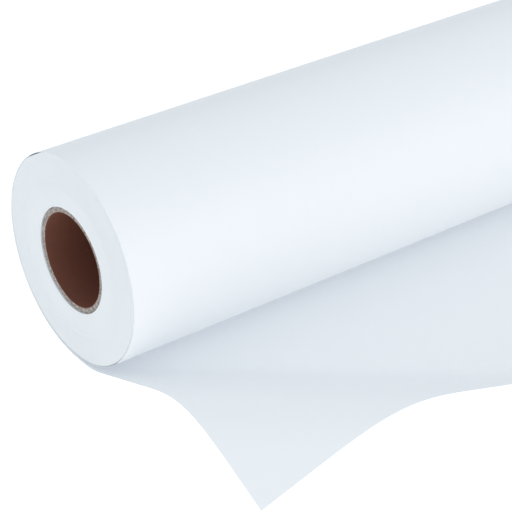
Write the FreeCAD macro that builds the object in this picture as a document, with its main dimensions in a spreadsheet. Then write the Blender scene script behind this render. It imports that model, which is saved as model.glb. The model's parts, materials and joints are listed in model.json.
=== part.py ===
"""Roll of self-adhesive sign vinyl on a paperboard core, with its free end paid out.

The roll's axis lies along +X and the origin is the centre of the core's bore,
half way along it. The web leaves the roll at its lowest line, y = 0, and runs
out towards -Y on the surface that the roll lies on. The near corner of the
web has curled: from a slanting line, the foot, the web rises to a ridge that
is parallel to the foot, and comes down again on its corner.
"""
import FreeCAD
import Part
import Sketcher

import math
import os

X_AXIS = FreeCAD.Vector(1, 0, 0)
Z_AXIS = FreeCAD.Vector(0, 0, 1)

DIMENSIONS = {
    # core: spiral-wound paper tube for a 3 inch shaft
    "bore_radius": 38.1,
    "skin_ply": 0.5,
    "board_ply": 0.875,
    # tapes that hold the inner end of the web on the core
    "tape_thickness": 0.3,
    "tape_width": 48.0,
    "tape_sweep": 40.0,
    "tape_pitch": 240.0,
    # web: face film outside, adhesive coat, release liner inside
    "web_width": 610.0,
    "film_thickness": 0.3,
    "adhesive_thickness": 0.2,
    "liner_thickness": 0.4,
    "roll_radius": 86.0,
    "running_gap": 0.05,
    "butt_gap": 0.1,
    "turn_sweep": 346.0,
    # free end of the web
    "tail_length": 256.0,
    "tail_headroom": 100.0,
    "foot_gap": 4.4,
    "foot_angle": 38.5,
    "rise_radius": 77.0,
    "rise_angle": 24.2,
    "rise_run": 67.0,
    "ridge_radius": 62.0,
    "fall_angle": 38.3,
    "fall_run": 80.0,
    "flat_run": 420.0,
    "blank_width": 1300.0,
}

BOARD_PLIES = 4
TAPES = 3
SEED = 10.0  # a size that sketches are drawn with before the sheet drives them

doc = FreeCAD.newDocument("vinyl_roll")
sheet = doc.addObject("Spreadsheet::Sheet", "sizes")
for row, (alias, value) in enumerate(DIMENSIONS.items(), start=1):
    sheet.set(f"A{row}", alias)
    sheet.set(f"B{row}", str(value))
    sheet.setAlias(f"B{row}", alias)
doc.recompute()

SKIN_RADIUS = "(sizes.bore_radius + sizes.skin_ply)"
BOARD_RADIUS = f"({SKIN_RADIUS} + {BOARD_PLIES} * sizes.board_ply)"
CORE_RADIUS = f"({BOARD_RADIUS} + sizes.skin_ply)"
TAPED_RADIUS = f"({CORE_RADIUS} + sizes.tape_thickness)"
FILM_INNER = "(sizes.roll_radius - sizes.film_thickness)"
ADHESIVE_INNER = f"({FILM_INNER} - sizes.adhesive_thickness)"
LINER_INNER = f"({ADHESIVE_INNER} - sizes.liner_thickness)"


def size(alias):
    """Read one driving dimension from the sheet."""
    return float(sheet.get(alias))


def new_body(label):
    """Make an empty body whose label names its node."""
    body = doc.addObject("PartDesign::Body", label)
    body.Label = label
    return body


def sketch_on(body, role, name):
    """Attach a new sketch to one of the body's own origin planes."""
    plane = next(item for item in body.Origin.OriginFeatures if item.Role == role)
    sketch = body.newObject("Sketcher::SketchObject", name)
    sketch.AttachmentSupport = (plane, "")
    sketch.MapMode = "FlatFace"
    return sketch


def bind(sketch, name, expression, *constraint):
    """Add a dimensional constraint and drive it from the sheet."""
    index = sketch.addConstraint(Sketcher.Constraint(*constraint))
    sketch.renameConstraint(index, name)
    sketch.setExpression(f"Constraints.{name}", expression)


def draw_rectangle(sketch, left, low, width, height):
    """Draw a rectangle whose lower left corner and sides are driven from the sheet."""
    ends = ((-SEED, SEED), (SEED, SEED), (SEED, 2 * SEED), (-SEED, 2 * SEED))
    corners = [FreeCAD.Vector(*point, 0) for point in ends]
    for side, corner in enumerate(corners):
        sketch.addGeometry(Part.LineSegment(corner, corners[(side + 1) % 4]), False)
    for side in range(4):
        sketch.addConstraint(Sketcher.Constraint("Coincident", side, 2, (side + 1) % 4, 1))
        sketch.addConstraint(Sketcher.Constraint(("Horizontal", "Vertical")[side % 2], side))
    bind(sketch, "wide", width, "DistanceX", 0, 1, 0, 2, 2 * SEED)
    bind(sketch, "high", height, "DistanceY", 1, 1, 1, 2, SEED)
    bind(sketch, "left", left, "DistanceX", -1, 1, 0, 1, -SEED)
    bind(sketch, "low", low, "DistanceY", -1, 1, 0, 1, SEED)


def tube(label, inner, outer):
    """Pad a ring along the whole length of the roll."""
    body = new_body(label)
    ring = sketch_on(body, "YZ_Plane", f"{label}_ring")
    for circle, (name, radius) in enumerate((("inner", inner), ("outer", outer))):
        drawn = SEED * (circle + 1)
        ring.addGeometry(Part.Circle(FreeCAD.Vector(), Z_AXIS, drawn), False)
        ring.addConstraint(Sketcher.Constraint("Coincident", circle, 3, -1, 1))
        bind(ring, name, radius, "Radius", circle, drawn)
    pad = body.newObject("PartDesign::Pad", f"{label}_pad")
    pad.Profile = ring
    pad.SideType = "Symmetric"
    pad.setExpression("Length", "sizes.web_width")
    return body


def band(label, inner, thickness, width, sweep, middle="0", start=180.0):
    """Turn a rectangular section part of the way round the roll, from the angle start past the top."""
    body = new_body(label)
    section = sketch_on(body, "XZ_Plane", f"{label}_section")
    draw_rectangle(section, f"{middle} - {width} / 2", inner, width, thickness)
    turn = body.newObject("PartDesign::Revolution", f"{label}_turn")
    turn.Profile = section
    turn.ReferenceAxis = (section, ["H_Axis"])
    turn.setExpression("Angle", sweep)
    body.Placement = FreeCAD.Placement(FreeCAD.Vector(), FreeCAD.Rotation(X_AXIS, start))
    return body


def rise_path(body, name):
    """Draw the tail's side view: flat, up a hollow bend, straight, and over to the top of the ridge."""
    tilt = math.radians(size("rise_angle"))
    hollow, crest, run = size("rise_radius"), size("ridge_radius"), size("rise_run")
    foot = FreeCAD.Vector()
    slope_start = FreeCAD.Vector(hollow * math.sin(tilt), hollow * (1 - math.cos(tilt)), 0)
    slope_end = slope_start + FreeCAD.Vector(run * math.cos(tilt), run * math.sin(tilt), 0)
    crest_centre = slope_end + FreeCAD.Vector(crest * math.sin(tilt), -crest * math.cos(tilt), 0)
    up = math.pi / 2
    hollow_circle = Part.Circle(FreeCAD.Vector(0, hollow, 0), Z_AXIS, hollow)
    crest_circle = Part.Circle(crest_centre, Z_AXIS, crest)
    path = sketch_on(body, "XZ_Plane", name)
    path.addGeometry(Part.LineSegment(FreeCAD.Vector(-size("flat_run"), 0, 0), foot), False)
    path.addGeometry(Part.ArcOfCircle(hollow_circle, -up, -up + tilt), False)
    path.addGeometry(Part.LineSegment(slope_start, slope_end), False)
    path.addGeometry(Part.ArcOfCircle(crest_circle, up, up + tilt), False)
    path.addConstraint(Sketcher.Constraint("Coincident", 0, 2, -1, 1))
    path.addConstraint(Sketcher.Constraint("Horizontal", 0))
    path.addConstraint(Sketcher.Constraint("Tangent", 0, 2, 1, 1))
    path.addConstraint(Sketcher.Constraint("Tangent", 1, 2, 2, 1))
    path.addConstraint(Sketcher.Constraint("Tangent", 2, 2, 3, 2))
    path.addConstraint(Sketcher.Constraint("Vertical", 3, 3, 3, 1))
    bind(path, "flat", "sizes.flat_run", "Distance", 0, size("flat_run"))
    bind(path, "hollow", "sizes.rise_radius", "Radius", 1, hollow)
    bind(path, "run", "sizes.rise_run", "Distance", 2, run)
    bind(path, "tilt", "sizes.rise_angle", "Angle", 2, tilt)
    bind(path, "crest", "sizes.ridge_radius", "Radius", 3, crest)
    return path


def fall_path(body, name):
    """Draw the corner's side view: from the top of the ridge round its bend and straight down."""
    tilt = math.radians(size("fall_angle"))
    crest, run = size("ridge_radius"), size("fall_run")
    up = math.pi / 2
    bend_end = FreeCAD.Vector(crest * math.sin(tilt), crest * (math.cos(tilt) - 1), 0)
    tip = bend_end + FreeCAD.Vector(run * math.cos(tilt), -run * math.sin(tilt), 0)
    crest_circle = Part.Circle(FreeCAD.Vector(0, -crest, 0), Z_AXIS, crest)
    path = sketch_on(body, "XZ_Plane", name)
    path.addGeometry(Part.ArcOfCircle(crest_circle, up - tilt, up), False)
    path.addGeometry(Part.LineSegment(bend_end, tip), False)
    path.addConstraint(Sketcher.Constraint("Coincident", 0, 2, -1, 1))
    path.addConstraint(Sketcher.Constraint("Vertical", 0, 3, 0, 2))
    path.addConstraint(Sketcher.Constraint("Tangent", 0, 1, 1, 1))
    bind(path, "crest", "sizes.ridge_radius", "Radius", 0, crest)
    bind(path, "run", "sizes.fall_run", "Distance", 1, run)
    bind(path, "tilt", "-sizes.fall_angle", "Angle", 1, -tilt)
    return path


def swept_sheet(label, draw_path, path_start, low, thickness, placement):
    """Sweep one layer of the web along its side view and trim it to the web's outline."""
    blank = new_body(f"{label}_blank")
    path = draw_path(blank, f"{label}_path")
    layer = sketch_on(blank, "YZ_Plane", f"{label}_layer")
    layer.setExpression(".AttachmentOffset.Base.z", path_start)
    draw_rectangle(layer, "-sizes.blank_width / 2", low, "sizes.blank_width", thickness)
    pipe = blank.newObject("PartDesign::AdditivePipe", f"{label}_pipe")
    pipe.Profile = layer
    pipe.Spine = path
    blank.Placement = placement
    trimmed = doc.addObject("Part::Common", label)
    trimmed.Label = label
    trimmed.Base = blank
    trimmed.Tool = outline_block(f"{label}_outline")
    return trimmed


def outline_block(label):
    """Make the block that holds everything within the free end's outline and above the surface."""
    block = doc.addObject("Part::Box", label)
    block.setExpression("Length", "sizes.web_width")
    block.setExpression("Width", "sizes.tail_length - sizes.butt_gap")
    block.setExpression("Height", "sizes.tail_headroom")
    corner = {"x": "-sizes.web_width / 2", "y": "-sizes.tail_length", "z": "-sizes.roll_radius"}
    for axis, expression in corner.items():
        block.setExpression(f".Placement.Base.{axis}", expression)
    return block


nodes = []

# core: brown skin plies inside and out, grey board plies between them
nodes.append(tube("core_inner_ply", "sizes.bore_radius", SKIN_RADIUS))
for ply in range(BOARD_PLIES):
    inner = f"{SKIN_RADIUS} + {ply} * sizes.board_ply"
    outer = f"{SKIN_RADIUS} + {ply + 1} * sizes.board_ply"
    nodes.append(tube(f"core_board_ply_{ply + 1}", inner, outer))
nodes.append(tube("core_outer_ply", BOARD_RADIUS, CORE_RADIUS))

# start tapes, spaced evenly about the middle of the core
for tape in range(TAPES):
    middle = f"{tape - (TAPES - 1) / 2} * sizes.tape_pitch"
    nodes.append(band(f"start_tape_{tape + 1}", CORE_RADIUS, "sizes.tape_thickness",
                      "sizes.tape_width", "sizes.tape_sweep", middle))

# wound web, a tight pack that turns inside the outermost turn
nodes.append(tube("wound_pack", TAPED_RADIUS, f"{LINER_INNER} - sizes.running_gap"))

# outermost turn: it starts where the web leaves the roll and ends just short of that line
LAYERS = (
    ("liner", LINER_INNER, "sizes.liner_thickness"),
    ("adhesive", ADHESIVE_INNER, "sizes.adhesive_thickness"),
    ("film", FILM_INNER, "sizes.film_thickness"),
)
for layer, inner, thickness in LAYERS:
    nodes.append(band(f"outer_turn_{layer}", inner, thickness, "sizes.web_width", "sizes.turn_sweep"))

# free end: film underneath, liner on top, split along the top of the ridge
tilt = math.radians(size("rise_angle"))
bends = size("rise_radius") + size("ridge_radius")
ridge_reach = bends * math.sin(tilt) + size("rise_run") * math.cos(tilt)
ridge_height = bends * (1 - math.cos(tilt)) + size("rise_run") * math.sin(tilt)
foot_place = FreeCAD.Placement(
    FreeCAD.Vector(-size("web_width") / 2, -size("foot_gap"), -size("roll_radius")),
    FreeCAD.Rotation(Z_AXIS, -(90.0 + size("foot_angle"))),
)
to_corner = FreeCAD.Vector(ridge_reach + size("butt_gap"), 0, ridge_height)
corner_place = foot_place.multiply(FreeCAD.Placement(to_corner, FreeCAD.Rotation()))
for layer, inner, thickness in LAYERS:
    low = f"sizes.roll_radius - {inner} - {thickness}"
    nodes.append(swept_sheet(f"tail_{layer}", rise_path, "-sizes.flat_run", low, thickness, foot_place))
    nodes.append(swept_sheet(f"corner_{layer}", fall_path, "0", low, thickness, corner_place))

doc.recompute()
for item in doc.Objects:
    if "Invalid" in item.State or "Error" in item.State:
        raise RuntimeError(f"{item.Label} did not compute: {item.State}")
for node in nodes:
    if node.Shape.isNull() or not node.Shape.isValid() or len(node.Shape.Solids) != 1:
        raise RuntimeError(f"{node.Label} is not one valid solid")

os.makedirs("parts", exist_ok=True)
for node in nodes:
    node.Shape.exportStep(os.path.join("parts", f"{node.Label}.step"))
ridge_top = ridge_height + size("film_thickness") + size("adhesive_thickness") + size("liner_thickness")
print("corner hinge passes", foot_place.multVec(FreeCAD.Vector(ridge_reach, 0, ridge_top)))
print(len(nodes), "sub-parts written")
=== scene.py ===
"""Looks of a roll of sign vinyl: paper core, wound web, loose outermost turn and curled free end.

Every length is in metres. The roll's axis is X through the origin, and the web runs out towards -Y.
"""
import json
import logging
import math
import random
from collections.abc import Callable, Sequence
from dataclasses import dataclass, field
from enum import Enum

import bmesh
import bpy
import numpy as np
from mathutils import Euler, Matrix, Vector


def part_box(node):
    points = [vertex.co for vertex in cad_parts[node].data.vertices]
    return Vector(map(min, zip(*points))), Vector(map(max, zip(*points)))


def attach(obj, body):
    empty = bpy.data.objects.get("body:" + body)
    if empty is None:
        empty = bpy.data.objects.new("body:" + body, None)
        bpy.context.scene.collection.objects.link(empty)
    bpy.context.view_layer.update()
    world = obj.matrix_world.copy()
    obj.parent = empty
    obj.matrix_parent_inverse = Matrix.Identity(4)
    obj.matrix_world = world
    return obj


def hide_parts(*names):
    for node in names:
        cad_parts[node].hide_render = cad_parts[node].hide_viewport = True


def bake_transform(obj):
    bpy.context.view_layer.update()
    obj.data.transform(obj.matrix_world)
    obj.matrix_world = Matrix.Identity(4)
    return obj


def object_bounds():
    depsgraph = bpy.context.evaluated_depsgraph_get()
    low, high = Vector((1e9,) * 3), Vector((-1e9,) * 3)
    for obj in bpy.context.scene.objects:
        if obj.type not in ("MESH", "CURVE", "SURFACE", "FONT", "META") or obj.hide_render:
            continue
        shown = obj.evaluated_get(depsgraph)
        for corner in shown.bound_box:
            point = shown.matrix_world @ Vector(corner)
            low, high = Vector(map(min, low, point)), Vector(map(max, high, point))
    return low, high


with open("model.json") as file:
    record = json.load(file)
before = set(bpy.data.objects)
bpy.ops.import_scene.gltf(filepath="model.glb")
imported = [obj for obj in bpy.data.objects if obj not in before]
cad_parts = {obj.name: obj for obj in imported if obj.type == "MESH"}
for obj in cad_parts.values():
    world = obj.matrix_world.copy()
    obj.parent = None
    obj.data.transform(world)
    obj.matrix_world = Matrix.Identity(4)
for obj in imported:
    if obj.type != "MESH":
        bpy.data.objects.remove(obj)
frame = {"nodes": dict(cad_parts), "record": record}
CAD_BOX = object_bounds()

LOG = logging.getLogger("vinyl_roll")
MM = 0.001
MERGE = 1e-7


class Body(Enum):
    """The rigid bodies that a piece can ride on."""

    TURN = "turn"
    ROLL = "roll"
    TAIL = "tail"
    CORNER = "corner"


class Slot(Enum):
    """The record's material slot names."""

    FILM = "face_film"
    EDGES = "wound_web"
    SKIN = "core_skin"
    BOARD = "core_board"


def linear(code: str) -> tuple[float, float, float, float]:
    """Turn an sRGB hex colour into the linear colour that shaders use.

    Args:
        code: Six hex digits, red first.

    Returns:
        Linear red, green, blue and an alpha of one.
    """
    shares = [int(code[i:i + 2], 16) / 255 for i in (0, 2, 4)]
    low = [share / 12.92 for share in shares]
    high = [((share + 0.055) / 1.055) ** 2.4 for share in shares]
    red, green, blue = (a if share <= 0.04045 else b for share, a, b in zip(shares, low, high))
    return red, green, blue, 1.0


def add_node(tree: bpy.types.NodeTree, kind: str, inputs: dict | None = None,
             **settings: object) -> bpy.types.Node:
    """Add one shader node.

    Args:
        tree: The material's node tree.
        kind: The node's type name.
        inputs: Socket name or index to a value or to another node's output.
        settings: The node's own properties.

    Returns:
        The new node.
    """
    made = tree.nodes.new(kind)
    for name, value in settings.items():
        setattr(made, name, value)
    for name, value in (inputs or {}).items():
        if isinstance(value, bpy.types.NodeSocket):
            tree.links.new(value, made.inputs[name])
        else:
            made.inputs[name].default_value = value
    return made


@dataclass(frozen=True)
class Finish:
    """A surface whose colour, roughness and relief all follow one pattern."""

    name: str
    pale: str
    deep: str
    gloss: float
    matte: float
    ior: float
    relief: float

    def pattern(self, tree: bpy.types.NodeTree) -> bpy.types.NodeSocket:
        """Build the pattern, a value from 0 to 1.

        Args:
            tree: The material's node tree.

        Returns:
            The pattern, from 0 where pale to 1 where deep.
        """
        raise NotImplementedError

    def material(self) -> bpy.types.Material:
        """Build the finish's material.

        Returns:
            The new material.
        """
        made = bpy.data.materials.new(self.name)
        made.use_nodes = True
        tree = made.node_tree
        shader = tree.nodes["Principled BSDF"]
        shader.inputs["IOR"].default_value = self.ior
        made.diffuse_color = linear(self.pale)
        share = self.pattern(tree)
        colour = add_node(tree, "ShaderNodeMix", {0: share, 6: linear(self.pale), 7: linear(self.deep)},
                          data_type="RGBA")
        rough = add_node(tree, "ShaderNodeMapRange", {0: share, 3: self.gloss, 4: self.matte})
        bump = add_node(tree, "ShaderNodeBump", {"Height": share, "Distance": self.relief}, invert=True)
        tree.links.new(colour.outputs[2], shader.inputs["Base Color"])
        tree.links.new(rough.outputs[0], shader.inputs["Roughness"])
        tree.links.new(bump.outputs[0], shader.inputs["Normal"])
        return made


@dataclass(frozen=True)
class CalenderedVinyl(Finish):
    """White PVC face film, rolled smooth between hot calender rolls.

    The eye sees a satin, faintly blue white with long, very weak streaks along the web.
    """

    name: str = "calendered white vinyl"
    pale: str = "FBFCFD"
    deep: str = "F9FAFC"
    gloss: float = 0.46
    matte: float = 0.54
    ior: float = 1.53
    relief: float = 0.004 * MM
    streak_width: float = 14 * MM
    streak_stretch: float = 0.06
    detail: float = 4.0

    def pattern(self, tree: bpy.types.NodeTree) -> bpy.types.NodeSocket:
        """Weak streaks that run along the web, in the sheet's own flat coordinates.

        Args:
            tree: The material's node tree.

        Returns:
            The pattern, from 0 where pale to 1 where deep.
        """
        flat = add_node(tree, "ShaderNodeUVMap", uv_map="flat")
        along = add_node(tree, "ShaderNodeMapping",
                         {"Vector": flat.outputs[0], "Scale": (1, self.streak_stretch, 1)})
        noise = add_node(tree, "ShaderNodeTexNoise",
                         {"Vector": along.outputs[0], "Scale": 1 / self.streak_width, "Detail": self.detail})
        return noise.outputs["Fac"]


@dataclass(frozen=True)
class LinerPaper(Finish):
    """Silicone-coated white liner paper: densified by supercalendering, so nearly smooth.

    The eye sees a soft sheen, a little less even than the film's, with a fine cloudy paper formation.
    """

    name: str = "coated liner paper"
    pale: str = "FBFCFD"
    deep: str = "F8F9FB"
    gloss: float = 0.44
    matte: float = 0.56
    ior: float = 1.5
    relief: float = 0.006 * MM
    cloud: float = 6 * MM
    detail: float = 6.0
    harshness: float = 0.6

    def pattern(self, tree: bpy.types.NodeTree) -> bpy.types.NodeSocket:
        """Clouds of denser and thinner fibre, drawn twice as coarse as real ones so that they show.

        Args:
            tree: The material's node tree.

        Returns:
            The pattern, from 0 where pale to 1 where deep.
        """
        flat = add_node(tree, "ShaderNodeUVMap", uv_map="flat")
        noise = add_node(tree, "ShaderNodeTexNoise",
                         {"Vector": flat.outputs[0], "Scale": 1 / self.cloud, "Detail": self.detail,
                          "Roughness": self.harshness})
        return noise.outputs["Fac"]


@dataclass(frozen=True)
class SlitEdges(Finish):
    """The slit edges of film and liner, pressed side by side in the wound roll.

    The eye sees white rings of very slightly different brightness, where turns sit higher or lower; in the
    colour these rings are painted shade of the higher and lower turns, mixed with random cloudy tone.
    """

    name: str = "slit edges of the wound web"
    pale: str = "F4F6F7"
    # deep is the painted shade of turns that sit lower, and also the darker random cloudy tone
    deep: str = "E6EAEC"
    gloss: float = 0.55
    matte: float = 0.7
    ior: float = 1.5
    relief: float = 0.03 * MM
    ring: float = 0.9 * MM
    ring_detail: float = 3.0
    clouds_per_metre: float = 30.0
    cloud_share: float = 0.35

    def pattern(self, tree: bpy.types.NodeTree) -> bpy.types.NodeSocket:
        """Rings of painted shade round the roll's axis, for turns that sit higher or lower, mixed with random
        clouds; real turns of 0.25 mm are too fine to show, so these are coarser.

        Args:
            tree: The material's node tree.

        Returns:
            The pattern, from 0 where pale to 1 where deep.
        """
        place = add_node(tree, "ShaderNodeTexCoord")
        flat = add_node(tree, "ShaderNodeMapping", {"Vector": place.outputs["Object"], "Scale": (0, 1, 1)})
        radius = add_node(tree, "ShaderNodeVectorMath", {0: flat.outputs[0]}, operation="LENGTH")
        turns = add_node(tree, "ShaderNodeMath", {0: radius.outputs["Value"], 1: 1 / self.ring},
                         operation="MULTIPLY")
        # painted shade: these rings darken the edge colour in bands round the axis, standing in for the shade
        # of turns that sit higher or lower
        rings = add_node(tree, "ShaderNodeTexNoise", {"W": turns.outputs[0], "Detail": self.ring_detail},
                         noise_dimensions="1D")
        clouds = add_node(tree, "ShaderNodeTexNoise",
                          {"Vector": place.outputs["Object"], "Scale": self.clouds_per_metre})
        both = add_node(tree, "ShaderNodeMix",
                        {0: self.cloud_share, 2: rings.outputs["Fac"], 3: clouds.outputs["Fac"]})
        return both.outputs[0]


@dataclass(frozen=True)
class KraftSkin(Finish):
    """Dark brown kraft paper, glazed on one side: the core's inner ply.

    The eye sees a dull, warm brown with short fibres and faint mottling.
    """

    name: str = "dark kraft ply"
    pale: str = "8C5846"
    deep: str = "724536"
    gloss: float = 0.55
    matte: float = 0.75
    ior: float = 1.5
    relief: float = 0.05 * MM
    fibre: float = 1.2 * MM
    fibre_stretch: float = 0.25
    detail: float = 5.0
    harshness: float = 0.65
    mottles_per_metre: float = 45.0
    mottle_share: float = 0.4

    def pattern(self, tree: bpy.types.NodeTree) -> bpy.types.NodeSocket:
        """Short fibres lying mostly along the core, over slow mottling.

        Args:
            tree: The material's node tree.

        Returns:
            The pattern, from 0 where pale to 1 where deep.
        """
        place = add_node(tree, "ShaderNodeTexCoord")
        along = add_node(tree, "ShaderNodeMapping",
                         {"Vector": place.outputs["Object"], "Scale": (self.fibre_stretch, 1, 1)})
        fibres = add_node(tree, "ShaderNodeTexNoise",
                          {"Vector": along.outputs[0], "Scale": 1 / self.fibre, "Detail": self.detail,
                           "Roughness": self.harshness})
        mottle = add_node(tree, "ShaderNodeTexNoise",
                          {"Vector": place.outputs["Object"], "Scale": self.mottles_per_metre})
        both = add_node(tree, "ShaderNodeMix",
                        {0: self.mottle_share, 2: fibres.outputs["Fac"], 3: mottle.outputs["Fac"]})
        return both.outputs[0]


@dataclass(frozen=True)
class GreyBoard(Finish):
    """Recycled grey chipboard, sawn across at the core's ends.

    The eye sees a rough, fibrous grey-beige with brown specks.
    """

    name: str = "grey chipboard ply"
    pale: str = "C3BEB8"
    deep: str = "5E3E30"
    gloss: float = 0.85
    matte: float = 0.95
    ior: float = 1.5
    relief: float = 0.15 * MM
    grain: float = 1.8 * MM
    detail: float = 6.0
    harshness: float = 0.7
    pale_below: float = 0.42
    deep_above: float = 0.64

    def pattern(self, tree: bpy.types.NodeTree) -> bpy.types.NodeSocket:
        """Torn fibre ends with strong contrast, drawn coarser than real ones so that they show.

        Args:
            tree: The material's node tree.

        Returns:
            The pattern, from 0 where pale to 1 where deep.
        """
        place = add_node(tree, "ShaderNodeTexCoord")
        noise = add_node(tree, "ShaderNodeTexNoise",
                         {"Vector": place.outputs["Object"], "Scale": 1 / self.grain, "Detail": self.detail,
                          "Roughness": self.harshness})
        strong = add_node(tree, "ShaderNodeMapRange",
                          {0: noise.outputs["Fac"], 1: self.pale_below, 2: self.deep_above})
        return strong.outputs[0]


@dataclass(frozen=True)
class PaperTape(Finish):
    """Creped cream masking tape.

    The eye sees a matte cream with fine cross ridges.
    """

    name: str = "creped paper tape"
    pale: str = "E2D2A6"
    deep: str = "CDBA88"
    gloss: float = 0.7
    matte: float = 0.85
    ior: float = 1.5
    relief: float = 0.05 * MM
    crepe: float = 0.6 * MM
    crepe_stretch: float = 0.2
    detail: float = 3.0

    def pattern(self, tree: bpy.types.NodeTree) -> bpy.types.NodeSocket:
        """Ridges across the tape's length, broken up by noise.

        Args:
            tree: The material's node tree.

        Returns:
            The pattern, from 0 where pale to 1 where deep.
        """
        place = add_node(tree, "ShaderNodeTexCoord")
        across = add_node(tree, "ShaderNodeMapping",
                          {"Vector": place.outputs["Object"], "Scale": (self.crepe_stretch, 1, 1)})
        noise = add_node(tree, "ShaderNodeTexNoise",
                         {"Vector": across.outputs[0], "Scale": 1 / self.crepe, "Detail": self.detail})
        return noise.outputs["Fac"]


def mesh_object(name: str, bm: bmesh.types.BMesh, finishes: Sequence[bpy.types.Material]) -> bpy.types.Object:
    """Turn a bmesh into a shown object with its place in its mesh.

    Args:
        name: The piece's name.
        bm: The finished bmesh, which is freed.
        finishes: The piece's materials, in slot order.

    Returns:
        The new object.
    """
    mark_creases(bm)
    mesh = bpy.data.meshes.new(name)
    bm.to_mesh(mesh)
    bm.free()
    for finish in finishes:
        mesh.materials.append(finish)
    made = bpy.data.objects.new(name, mesh)
    bpy.context.scene.collection.objects.link(made)
    return made


def mark_creases(bm: bmesh.types.BMesh, crease: float = math.radians(32)) -> None:
    """Shade every face smooth and keep edges sharper than the crease angle hard.

    Args:
        bm: The bmesh to mark.
        crease: The angle between two faces past which their edge stays hard.
    """
    for face in bm.faces:
        face.smooth = True
    for edge in bm.edges:
        edge.smooth = edge.calc_face_angle(math.pi) < crease


def smoothstep(value: float) -> float:
    """Ease from 0 to 1 as the value goes from 0 to 1."""
    held = min(1.0, max(0.0, value))
    return held * held * (3 - 2 * held)


@dataclass
class PaperCore:
    """Spiral-wound paper tube: each ply is one strip wound as a helix, its edges meeting in a seam."""

    finish_skin: bpy.types.Material
    finish_board: bpy.types.Material
    lead: float = 148 * MM
    seam: float = 0.5 * MM
    steps_per_turn: int = 120
    setback: float = 1.1 * MM
    saw_step: float = 0.3 * MM
    saw_seed: int = 4
    seam_shift: float = 0.37
    spare_turns: int = 2
    pieces: list[bpy.types.Object] = field(default_factory=list)

    def strip(self, node: str, phase: float, trim: float) -> bmesh.types.BMesh:
        """Wind one ply's strip and saw both ends off square.

        Args:
            node: The CAD node that gives the ply's place.
            phase: Share of a lead by which the seam is shifted.
            trim: How far the ply's ends stand back from the core's.

        Returns:
            The closed strip.
        """
        low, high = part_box(node)
        outer = high.z
        inner = self.inner_radius(node)
        turns = math.ceil((high.x - low.x) / self.lead) + self.spare_turns
        start = low.x - self.lead * (1 + phase)
        bm = bmesh.new()
        ends = [(start, inner), (start + self.lead - self.seam, inner),
                (start + self.lead - self.seam, outer), (start, outer)]
        section = [bm.verts.new((x, 0, radius)) for x, radius in ends]
        bm.faces.new(section)
        count = turns * self.steps_per_turn
        bmesh.ops.spin(bm, geom=bm.verts[:] + bm.edges[:] + bm.faces[:], cent=(0, 0, 0), axis=(1, 0, 0),
                       dvec=(self.lead / self.steps_per_turn, 0, 0), angle=math.tau * turns, steps=count,
                       use_merge=False, use_normal_flip=False, use_duplicate=False)
        bmesh.ops.recalc_face_normals(bm, faces=bm.faces)
        for side, cut in ((-1, low.x + trim), (1, high.x - trim)):
            geometry = bm.verts[:] + bm.edges[:] + bm.faces[:]
            sawn = bmesh.ops.bisect_plane(bm, geom=geometry, dist=MERGE, plane_co=(cut, 0, 0),
                                          plane_no=(side, 0, 0), clear_outer=True)
            rim = [item for item in sawn["geom_cut"] if isinstance(item, bmesh.types.BMEdge)]
            bmesh.ops.edgenet_fill(bm, edges=rim)
        bmesh.ops.recalc_face_normals(bm, faces=bm.faces)
        return bm

    def inner_radius(self, node: str) -> float:
        """Measure the radius of a CAD ply's inner wall.

        Args:
            node: The CAD node's name.

        Returns:
            The smallest distance of its points from the axis.
        """
        mesh = frame["nodes"][node].data
        return min(math.hypot(vertex.co.y, vertex.co.z) for vertex in mesh.vertices)

    def build(self) -> None:
        """Build every ply, each with its seam and its sawn end in a place of its own."""
        nodes = [name for name in frame["record"]["behaviour"]["bodies"]["roll"] if name.startswith("core_")]
        trims = random.Random(self.saw_seed)
        for index, node in enumerate(nodes):
            skin = index == 0
            trim = self.setback + trims.random() * self.saw_step
            bm = self.strip(node, phase=index * self.seam_shift % 1, trim=trim)
            finish = self.finish_skin if skin else self.finish_board
            piece = mesh_object(node.replace("core_", "wound_"), bm, [finish])
            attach(piece, Body.ROLL.value)
            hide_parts(node)
            self.pieces.append(piece)


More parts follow.
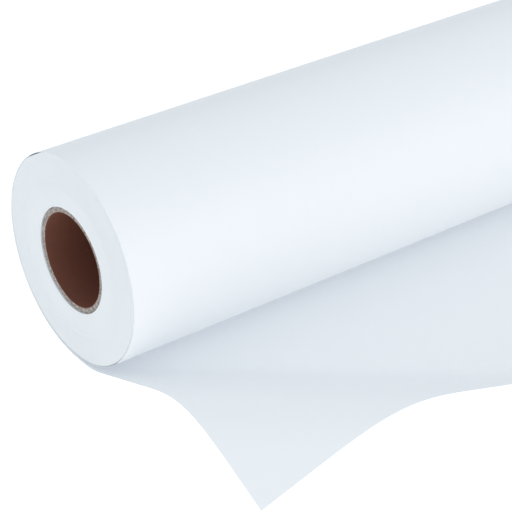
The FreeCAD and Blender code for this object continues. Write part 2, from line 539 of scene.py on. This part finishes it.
@dataclass
class WoundPack:
    """The closely wound web: its ends are the slit edges of many turns, some a little proud of others."""

    finish: bpy.types.Material
    outer_radius: float = 85.4 * MM
    turns: int = 90
    segments: int = 160
    jitter: float = 0.06 * MM
    shift: float = 0.25 * MM
    shift_wave: float = 0.09
    shift_swell: float = 0.031
    slip_seed: int = 11
    slack_depth: float = 6 * MM
    top_gap: float = 0.7 * MM
    top_centre: float = 58
    top_half: float = 11
    low_gap: float = 0.5 * MM
    low_start: float = 165
    low_end: float = 292
    low_rise: float = 32
    low_fall: float = 30
    pieces: list[bpy.types.Object] = field(default_factory=list)

    def offsets(self) -> list[float]:
        """Work out how far each turn has slipped sideways: small scatter on a few slow shifts.

        Returns:
            Each turn's slip inwards from the web's end, zero or negative, innermost turn first.
        """
        scatter = random.Random(self.slip_seed)
        slips = [scatter.uniform(-self.jitter, self.jitter) for _ in range(self.turns)]
        waves = [self.shift * math.sin(turn * self.shift_wave) * math.sin(turn * self.shift_swell + 1)
                 for turn in range(self.turns)]
        return [min(0.0, slip + wave - self.shift / 2) for slip, wave in zip(slips, waves)]

    def slack(self, angle: float) -> float:
        """Tell how far the pack stands back from its outermost turn at an angle.

        Args:
            angle: Angle round the axis from +Y towards +Z, in radians.

        Returns:
            The gap that opens there.
        """
        degrees = math.degrees(angle) % 360
        top = smoothstep(1 - abs(degrees - self.top_centre) / self.top_half)
        rise = smoothstep((degrees - self.low_start) / self.low_rise)
        fall = smoothstep((self.low_end - degrees) / self.low_fall)
        return self.top_gap * top + self.low_gap * rise * fall

    def build(self) -> None:
        """Spin the stepped end profile round the axis and open the gap under the outermost turn."""
        low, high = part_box("wound_pack")
        near_end, far_end = low.x, high.x
        inner = min(math.hypot(v.co.y, v.co.z) for v in frame["nodes"]["wound_pack"].data.vertices)
        pitch = (self.outer_radius - inner) / self.turns
        bm = bmesh.new()
        near, far = [], []
        for turn, slip in enumerate(self.offsets()):
            for radius in (inner + turn * pitch, inner + (turn + 1) * pitch):
                near.append(bm.verts.new((near_end - slip, 0, radius)))
                far.append(bm.verts.new((far_end + slip, 0, radius)))
        ring = near + far[::-1]
        for index, vertex in enumerate(ring):
            bm.edges.new((vertex, ring[(index + 1) % len(ring)]))
        bmesh.ops.spin(bm, geom=bm.verts[:] + bm.edges[:], cent=(0, 0, 0), axis=(1, 0, 0), dvec=(0, 0, 0),
                       angle=math.tau, steps=self.segments, use_merge=True, use_normal_flip=False,
                       use_duplicate=False)
        bmesh.ops.remove_doubles(bm, verts=bm.verts, dist=MERGE)
        bmesh.ops.recalc_face_normals(bm, faces=bm.faces)
        for vertex in bm.verts:
            radius = math.hypot(vertex.co.y, vertex.co.z)
            share = smoothstep((radius - self.outer_radius + self.slack_depth) / self.slack_depth)
            shrink = 1 - share * self.slack(math.atan2(vertex.co.z, vertex.co.y)) / radius
            vertex.co.y *= shrink
            vertex.co.z *= shrink
        piece = mesh_object("wound_web", bm, [self.finish])
        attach(piece, Body.ROLL.value)
        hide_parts("wound_pack")
        self.pieces.append(piece)


@dataclass(frozen=True)
class Curl:
    """The bend of the free end's near corner, worked out from the distance past the foot line."""

    foot: Vector
    foot_angle: float = math.radians(38.4)
    hollow_length: float = 34 * MM
    rise_angle: float = math.radians(24.3)
    rise_run: float = 50.5 * MM
    crest_length: float = 96.4 * MM
    fall_angle: float = math.radians(38.7)
    reach: float = 260 * MM
    step: float = 0.5 * MM

    @property
    def heading(self) -> Vector:
        """The level direction from the foot line towards the corner."""
        return Vector((-math.sin(self.foot_angle), -math.cos(self.foot_angle), 0))

    def slope(self, distance: float) -> float:
        """Give the web's slope at a distance past the foot, measured along the web.

        Args:
            distance: Distance past the foot line, along the web.

        Returns:
            The slope in radians, upwards positive.
        """
        crest_start = self.hollow_length + self.rise_run
        rise = self.rise_angle * smoothstep(distance / self.hollow_length)
        crest = smoothstep((distance - crest_start) / self.crest_length)
        return rise - (self.rise_angle + self.fall_angle) * crest

    def side_view(self) -> tuple[np.ndarray, np.ndarray, np.ndarray]:
        """Follow the slope and give distances along the web with the reach and height at each.

        Returns:
            Distances along the web, level distances from the foot, and heights over the table.
        """
        along = np.arange(0, self.reach, self.step)
        slopes = np.array([self.slope(value) for value in along])
        reach = np.concatenate(([0], np.cumsum(np.cos(slopes[:-1]) * self.step)))
        height = np.concatenate(([0], np.cumsum(np.sin(slopes[:-1]) * self.step)))
        return along, reach, np.maximum(height, 0)

    def ridge(self) -> Vector:
        """Give the point where the ridge passes straight ahead of the foot.

        Returns:
            The ridge's highest point there.
        """
        _, reach, height = self.side_view()
        top = int(np.argmax(height))
        return self.foot + self.heading * float(reach[top]) + Vector((0, 0, float(height[top])))


@dataclass
class Web:
    """The laminate of film and liner: the loose outermost turn and the free end, one sheet in two pieces."""

    finish_film: bpy.types.Material
    finish_liner: bpy.types.Material
    finish_edge: bpy.types.Material
    thickness: float = 0.25 * MM
    lap: float = 0.27 * MM
    tuck: float = 15 * MM
    paid_out: float = 257.1 * MM
    cut_slant: float = math.tan(math.radians(-0.7))
    joint_line: float = 24 * MM
    skew: float = math.tan(math.radians(3.2))
    skew_start: float = 22 * MM
    telescope: float = 0.35 * MM
    foot_gap: float = 4.4 * MM
    curled_width: float = 360 * MM
    curled_lines: int = 91
    flat_lines: int = 21
    wound_lines: int = 221
    leaving_lines: int = 49
    free_lines: int = 79
    ridge_bend: float = 28 * MM
    nip_lean: float = -0.28
    nip_margin: float = 1.0005
    end_margin: float = 0.05 * MM
    pieces: list[bpy.types.Object] = field(default_factory=list)

    def __post_init__(self) -> None:
        """Take the roll's place from the frame."""
        low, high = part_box("outer_turn_film")
        self.radius = -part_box("tail_film")[0].z
        self.near_edge = low.x
        self.width = high.x - low.x
        self.curl = Curl(Vector((self.near_edge, -self.foot_gap, -self.radius)))
        self.profile = self.curl.side_view()

    def drift(self, length: float) -> float:
        """Tell how far sideways the web has run at a length past the nip, negative on the roll.

        Args:
            length: Distance past the nip, negative for web that is still on the roll.

        Returns:
            The shift along X, negative towards the near end.
        """
        turned = smoothstep(1 + length / (math.tau * self.radius))
        swung = self.skew * self.skew_start * math.log1p(math.exp(length / self.skew_start))
        return -self.telescope * turned - swung

    def lay(self, across: float, length: float) -> Vector:
        """Place one point of the flat web.

        Args:
            across: Distance from the near edge.
            length: Distance past the nip, negative for web that is still on the roll.

        Returns:
            The point's place on the film's outer face.
        """
        x = self.near_edge + across + self.drift(length)
        if length < 0:
            turned = -length / self.radius
            radius = self.radius - self.lap * turned / math.tau
            return Vector((x, radius * math.sin(turned), -radius * math.cos(turned)))
        flat = Vector((x, -length, -self.radius))
        heading = self.curl.heading
        past = (flat - self.curl.foot).dot(heading)
        if past <= 0:
            return flat
        along, reach, height = self.profile
        ahead = float(np.interp(past, along, reach))
        return flat + heading * (ahead - past) + Vector((0, 0, float(np.interp(past, along, height))))

    def columns(self) -> list[float]:
        """Give the distances across the web of its mesh lines, closer together at the curled side.

        Returns:
            Distances from the near edge.
        """
        curled = np.linspace(0, self.curled_width, self.curled_lines)
        flat = np.linspace(self.curled_width, self.width, self.flat_lines)[1:]
        return [*curled, *flat]

    def sheet(self, name: str, lengths: Sequence[float]) -> bpy.types.Object:
        """Make one stretch of the web with its film, its liner and its slit edges.

        Args:
            name: The piece's name.
            lengths: Distances past the nip of the mesh lines across the web.

        Returns:
            The finished piece.
        """
        columns = self.columns()
        bm = bmesh.new()
        bmesh.ops.create_grid(bm, x_segments=len(columns) - 1, y_segments=len(lengths) - 1, size=0.5)
        flat = bm.loops.layers.uv.new("flat")
        for vertex in bm.verts:
            column = round((vertex.co.x + 0.5) * (len(columns) - 1))
            row = round((vertex.co.y + 0.5) * (len(lengths) - 1))
            vertex.co = Vector((columns[column], lengths[row], 0))
        for face in bm.faces:
            for loop in face.loops:
                loop[flat].uv = loop.vert.co.xy
        slant = self.cut_slant if max(lengths) > self.joint_line else 0.0
        for vertex in bm.verts:
            share = smoothstep((vertex.co.y - self.joint_line) / (self.paid_out - self.joint_line))
            vertex.co = self.lay(vertex.co.x, vertex.co.y + slant * share * vertex.co.x)
        piece = mesh_object(name, bm, [self.finish_film, self.finish_liner, self.finish_edge])
        wall = piece.modifiers.new("thickness", "SOLIDIFY")
        wall.thickness = self.thickness
        wall.offset = -1
        wall.use_even_offset = True
        wall.material_offset = 1
        wall.material_offset_rim = 2
        return self.settle(piece)

    def settle(self, piece: bpy.types.Object) -> bpy.types.Object:
        """Apply the piece's modifiers and keep its slit edges hard.

        Args:
            piece: The piece with its modifiers.

        Returns:
            The same piece, with its final mesh.
        """
        solid = bpy.data.meshes.new_from_object(piece.evaluated_get(bpy.context.evaluated_depsgraph_get()))
        piece.modifiers.clear()
        bm = bmesh.new()
        bm.from_mesh(solid)
        mark_creases(bm)
        bm.to_mesh(solid)
        bm.free()
        piece.data = solid
        return piece

    def build(self) -> None:
        """Build both stretches, laid round the roll and curled at the free end's corner."""
        turn_length = math.tau * self.radius
        wound = np.linspace(-turn_length - self.tuck, 0, self.wound_lines)
        leaving = np.linspace(0, self.joint_line, self.leaving_lines)[1:]
        turn = self.sheet("outermost_turn", [*wound, *leaving])
        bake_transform(turn)
        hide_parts("outer_turn_film", "outer_turn_adhesive", "outer_turn_liner")
        free = self.sheet("free_end", np.linspace(self.joint_line, self.paid_out, self.free_lines))
        ridge = self.curl.ridge()
        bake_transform(free)
        layers = ("film", "adhesive", "liner")
        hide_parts(*(f"{part}_{layer}" for part in ("tail", "corner") for layer in layers))
        self.pieces += [turn, free]


@dataclass
class StartTapes:
    """The tapes between core and pack, kept as the frame has them."""

    finish: bpy.types.Material

    def build(self) -> None:
        """Dress the tapes."""
        for name, node in frame["nodes"].items():
            if name.startswith("start_tape"):
                node.data.materials.clear()
                node.data.materials.append(self.finish)


@dataclass
class Studio:
    """A pale table, soft light and the camera."""

    floor_level: float
    heading: float = math.radians(37.24)
    pitch: float = math.radians(30.82)
    eye: tuple[float, float, float] = (-0.9357, -1.062, 0.7363)
    lens: float = 132.75
    sensor_width: float = 36
    far_clip: float = 100
    table_half: float = 15
    table_drop: float = 0.1 * MM
    table_roughness: float = 0.9
    table_shine: float = 0.1
    table_colour: str = "C4C6C8"
    table_glow: str = "FFFFFF"
    table_glow_strength: float = 0.68
    sky_colour: str = "F2F9FF"
    key_colour: str = "FDFDFA"
    softbox_side: float = 2.2
    softbox_distance: float = 3.6
    softbox_height: float = math.radians(20)
    key_azimuth: float = math.radians(-20)
    key_power: float = 17.8
    fill_azimuth: float = math.radians(60)
    fill_power: float = 6
    horizon_strength: float = 0.53
    zenith_strength: float = 0.95
    bounces: int = 28

    def camera(self) -> None:
        """Set the camera up."""
        data = bpy.data.cameras.new("camera")
        data.lens = self.lens
        data.sensor_width = self.sensor_width
        data.clip_end = self.far_clip
        made = bpy.data.objects.new("camera", data)
        made.location = self.eye
        made.rotation_euler = Euler((math.pi / 2 - self.pitch, 0, -self.heading))
        bpy.context.scene.collection.objects.link(made)
        bpy.context.scene.camera = made

    def light(self, name: str, azimuth: float, power: float) -> None:
        """Stand one square softbox on the front side, facing the roll.

        Args:
            name: The light's name.
            azimuth: Its direction from -Y towards -X.
            power: Its power in watts.
        """
        data = bpy.data.lights.new(name, "AREA")
        data.size = self.softbox_side
        data.energy = power
        data.color = linear(self.key_colour)[:3]
        made = bpy.data.objects.new(name, data)
        level = math.cos(self.softbox_height)
        away = Vector((-math.sin(azimuth) * level, -math.cos(azimuth) * level, math.sin(self.softbox_height)))
        made.location = away * self.softbox_distance
        made.rotation_mode = "QUATERNION"
        made.rotation_quaternion = (-away).to_track_quat("-Z", "Y")
        bpy.context.scene.collection.objects.link(made)

    def table(self) -> None:
        """Lay the table: a plain pale sheet, lit a little from within like a light table."""
        bm = bmesh.new()
        bmesh.ops.create_grid(bm, x_segments=1, y_segments=1, size=self.table_half,
                              matrix=Matrix.Translation((0, 0, self.floor_level - self.table_drop)))
        finish = bpy.data.materials.new("table")
        finish.use_nodes = True
        shader = finish.node_tree.nodes["Principled BSDF"]
        shader.inputs["Base Color"].default_value = linear(self.table_colour)
        shader.inputs["Roughness"].default_value = self.table_roughness
        shader.inputs["Specular IOR Level"].default_value = self.table_shine
        shader.inputs["Emission Color"].default_value = linear(self.table_glow)
        shader.inputs["Emission Strength"].default_value = self.table_glow_strength
        mesh_object("table", bm, [finish])

    def surround(self) -> None:
        """Light the room evenly, brighter overhead than at the horizon."""
        world = bpy.data.worlds.new("soft surround")
        world.use_nodes = True
        tree = world.node_tree
        place = add_node(tree, "ShaderNodeTexCoord")
        parts = add_node(tree, "ShaderNodeSeparateXYZ", {0: place.outputs["Generated"]})
        strength = add_node(tree, "ShaderNodeMapRange",
                            {0: parts.outputs["Z"], 3: self.horizon_strength, 4: self.zenith_strength})
        surround = tree.nodes["Background"]
        surround.inputs["Color"].default_value = linear(self.sky_colour)
        tree.links.new(strength.outputs[0], surround.inputs["Strength"])
        bpy.context.scene.world = world
        bpy.context.scene.cycles.max_bounces = self.bounces
        bpy.context.scene.cycles.diffuse_bounces = self.bounces

    def build(self) -> None:
        """Build the whole studio."""
        self.camera()
        self.table()
        self.light("key", self.key_azimuth, self.key_power)
        self.light("fill", self.fill_azimuth, self.fill_power)
        self.surround()
        bpy.context.scene.view_settings.view_transform = "Standard"


def report(builder: Callable[[], None], label: str, pieces: Sequence[bpy.types.Object] = ()) -> None:
    """Build one sub-assembly and log what it made.

    Args:
        builder: The sub-assembly's build method.
        label: What to call it in the log.
        pieces: The list that the build fills.
    """
    builder()
    for piece in pieces:
        LOG.info("%s: %s, %d faces", label, piece.name, len(piece.data.polygons))
    LOG.info("%s built", label)


def main() -> None:
    """Build the roll's looks, sub-assembly by sub-assembly."""
    logging.basicConfig(level=logging.INFO, format="%(message)s")
    film, liner, edges = CalenderedVinyl().material(), LinerPaper().material(), SlitEdges().material()
    core = PaperCore(KraftSkin().material(), GreyBoard().material())
    report(core.build, "core", core.pieces)
    report(StartTapes(PaperTape().material()).build, "start tapes")
    pack = WoundPack(edges)
    report(pack.build, "wound pack", pack.pieces)
    web = Web(film, liner, edges)
    report(web.build, "web", web.pieces)
    report(Studio(CAD_BOX[0].z).build, "studio")


if __name__ == "__main__":
    main()
